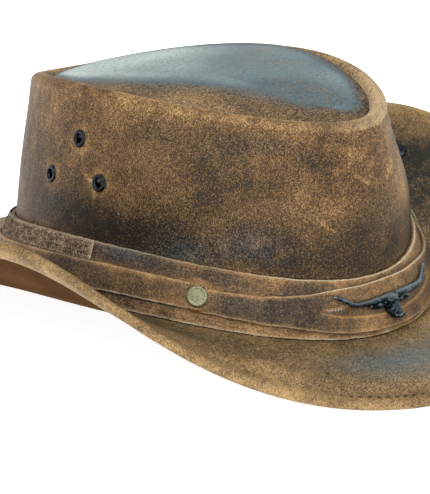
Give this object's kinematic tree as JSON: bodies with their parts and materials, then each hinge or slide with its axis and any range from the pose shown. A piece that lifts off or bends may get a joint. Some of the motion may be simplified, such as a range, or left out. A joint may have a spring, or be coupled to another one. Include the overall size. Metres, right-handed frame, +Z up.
{
  "type": "bush hat",
  "caption": "Leather bush hat: a moulded crown with a rolled rim and creased top, a wide brim curled up at the sides with a stitched hem, and a strapped band with a bull head badge.",
  "frame": {"origin": "middle of the hat's length and width, on the level that its hem rests on", "axes": "+Z up, -Y towards the front of the hat, +X towards the wearer's left"},
  "size_m": [0.2778, 0.326, 0.1136],
  "materials": {
    "crown_leather": "distressed tan and dark brown leather, worn pale along the rim, with a grey sheen on top",
    "brim_leather": "distressed ochre and dark brown leather, smooth brown underneath",
    "band_leather": "dark brown leather with orange worn edges",
    "strap_leather": "dark brown and blue-grey leather with orange worn edges and pale fibres at the cut",
    "suede": "matt grey-brown suede with pale stitching",
    "worn_brass": "dull greenish brass",
    "gunmetal": "dark blue-grey cast metal, half polished",
    "black_metal": "black enamelled metal, worn at the edges"
  },
  "bodies": {
    "root": {"crown": "crown_leather", "brim": "brim_leather", "hat_band": "band_leather", "front_strap": "strap_leather", "rear_strap": "strap_leather", "band_join_patch": "suede", "bull_head_badge": "gunmetal", "band_rivet_right": "worn_brass", "brim_snap_right": "black_metal", "band_rivet_left": "worn_brass", "brim_snap_left": "black_metal", "vent_eyelet_upper_right": "black_metal", "vent_eyelet_front_right": "black_metal", "vent_eyelet_back_right": "black_metal", "vent_eyelet_upper_left": "black_metal", "vent_eyelet_front_left": "black_metal", "vent_eyelet_back_left": "black_metal"}
  },
  "joints": []
}
